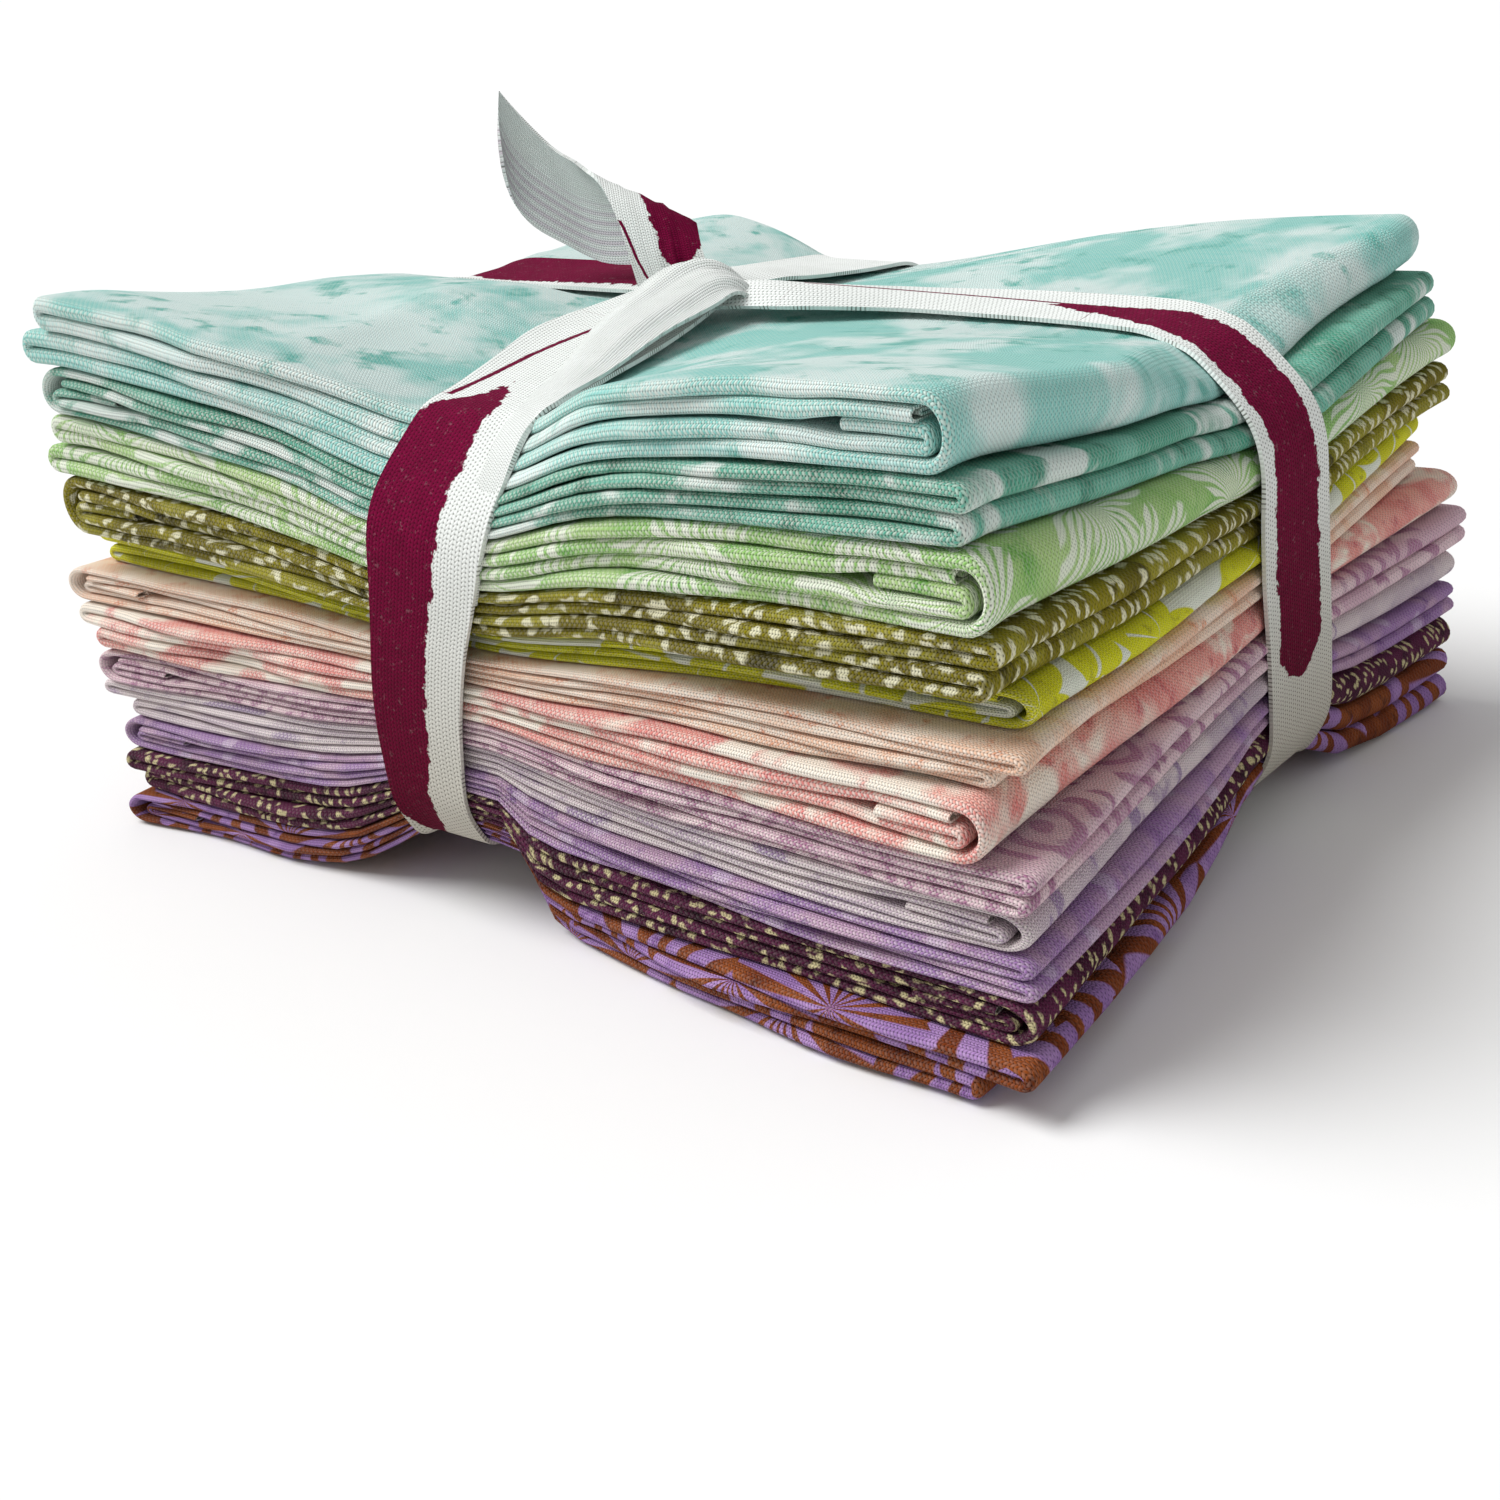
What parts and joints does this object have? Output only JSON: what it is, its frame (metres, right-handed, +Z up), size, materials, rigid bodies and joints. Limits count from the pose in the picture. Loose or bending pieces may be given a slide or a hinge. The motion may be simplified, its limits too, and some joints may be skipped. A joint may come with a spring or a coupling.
{
  "type": "stack of fat quarters",
  "caption": "Folded quilting cotton fat quarters stacked on each other and tied both ways like a parcel with twill tape, knotted on top with one free end.",
  "frame": {"origin": "middle of the stack's footprint, on the surface that it rests on", "axes": "+Z up through the stack, +X along the longer side of the folded cloths, -Y towards the face that shows every fold"},
  "size_m": [0.1553, 0.123, 0.0894],
  "materials": {
    "cotton_rust": "matte woven cotton",
    "cotton_plum": "matte woven cotton",
    "cotton_lavender": "matte woven cotton",
    "cotton_grey": "matte woven cotton",
    "cotton_mauve": "matte woven cotton",
    "cotton_coral": "matte woven cotton",
    "cotton_peach": "matte woven cotton",
    "cotton_yellow": "matte woven cotton",
    "cotton_olive": "matte woven cotton",
    "cotton_green": "matte woven cotton",
    "cotton_mint": "matte woven cotton",
    "cotton_aqua": "matte woven cotton",
    "cotton_twill": "matte cotton twill"
  },
  "bodies": {
    "root": {"fat_quarter_rust": "cotton_rust", "fat_quarter_plum": "cotton_plum", "fat_quarter_lavender": "cotton_lavender", "fat_quarter_grey": "cotton_grey", "fat_quarter_mauve": "cotton_mauve", "fat_quarter_coral": "cotton_coral", "fat_quarter_peach": "cotton_peach", "fat_quarter_yellow": "cotton_yellow", "fat_quarter_olive": "cotton_olive", "fat_quarter_green": "cotton_green", "fat_quarter_mint": "cotton_mint", "fat_quarter_aqua": "cotton_aqua", "twill_tape": "cotton_twill"}
  },
  "joints": []
}
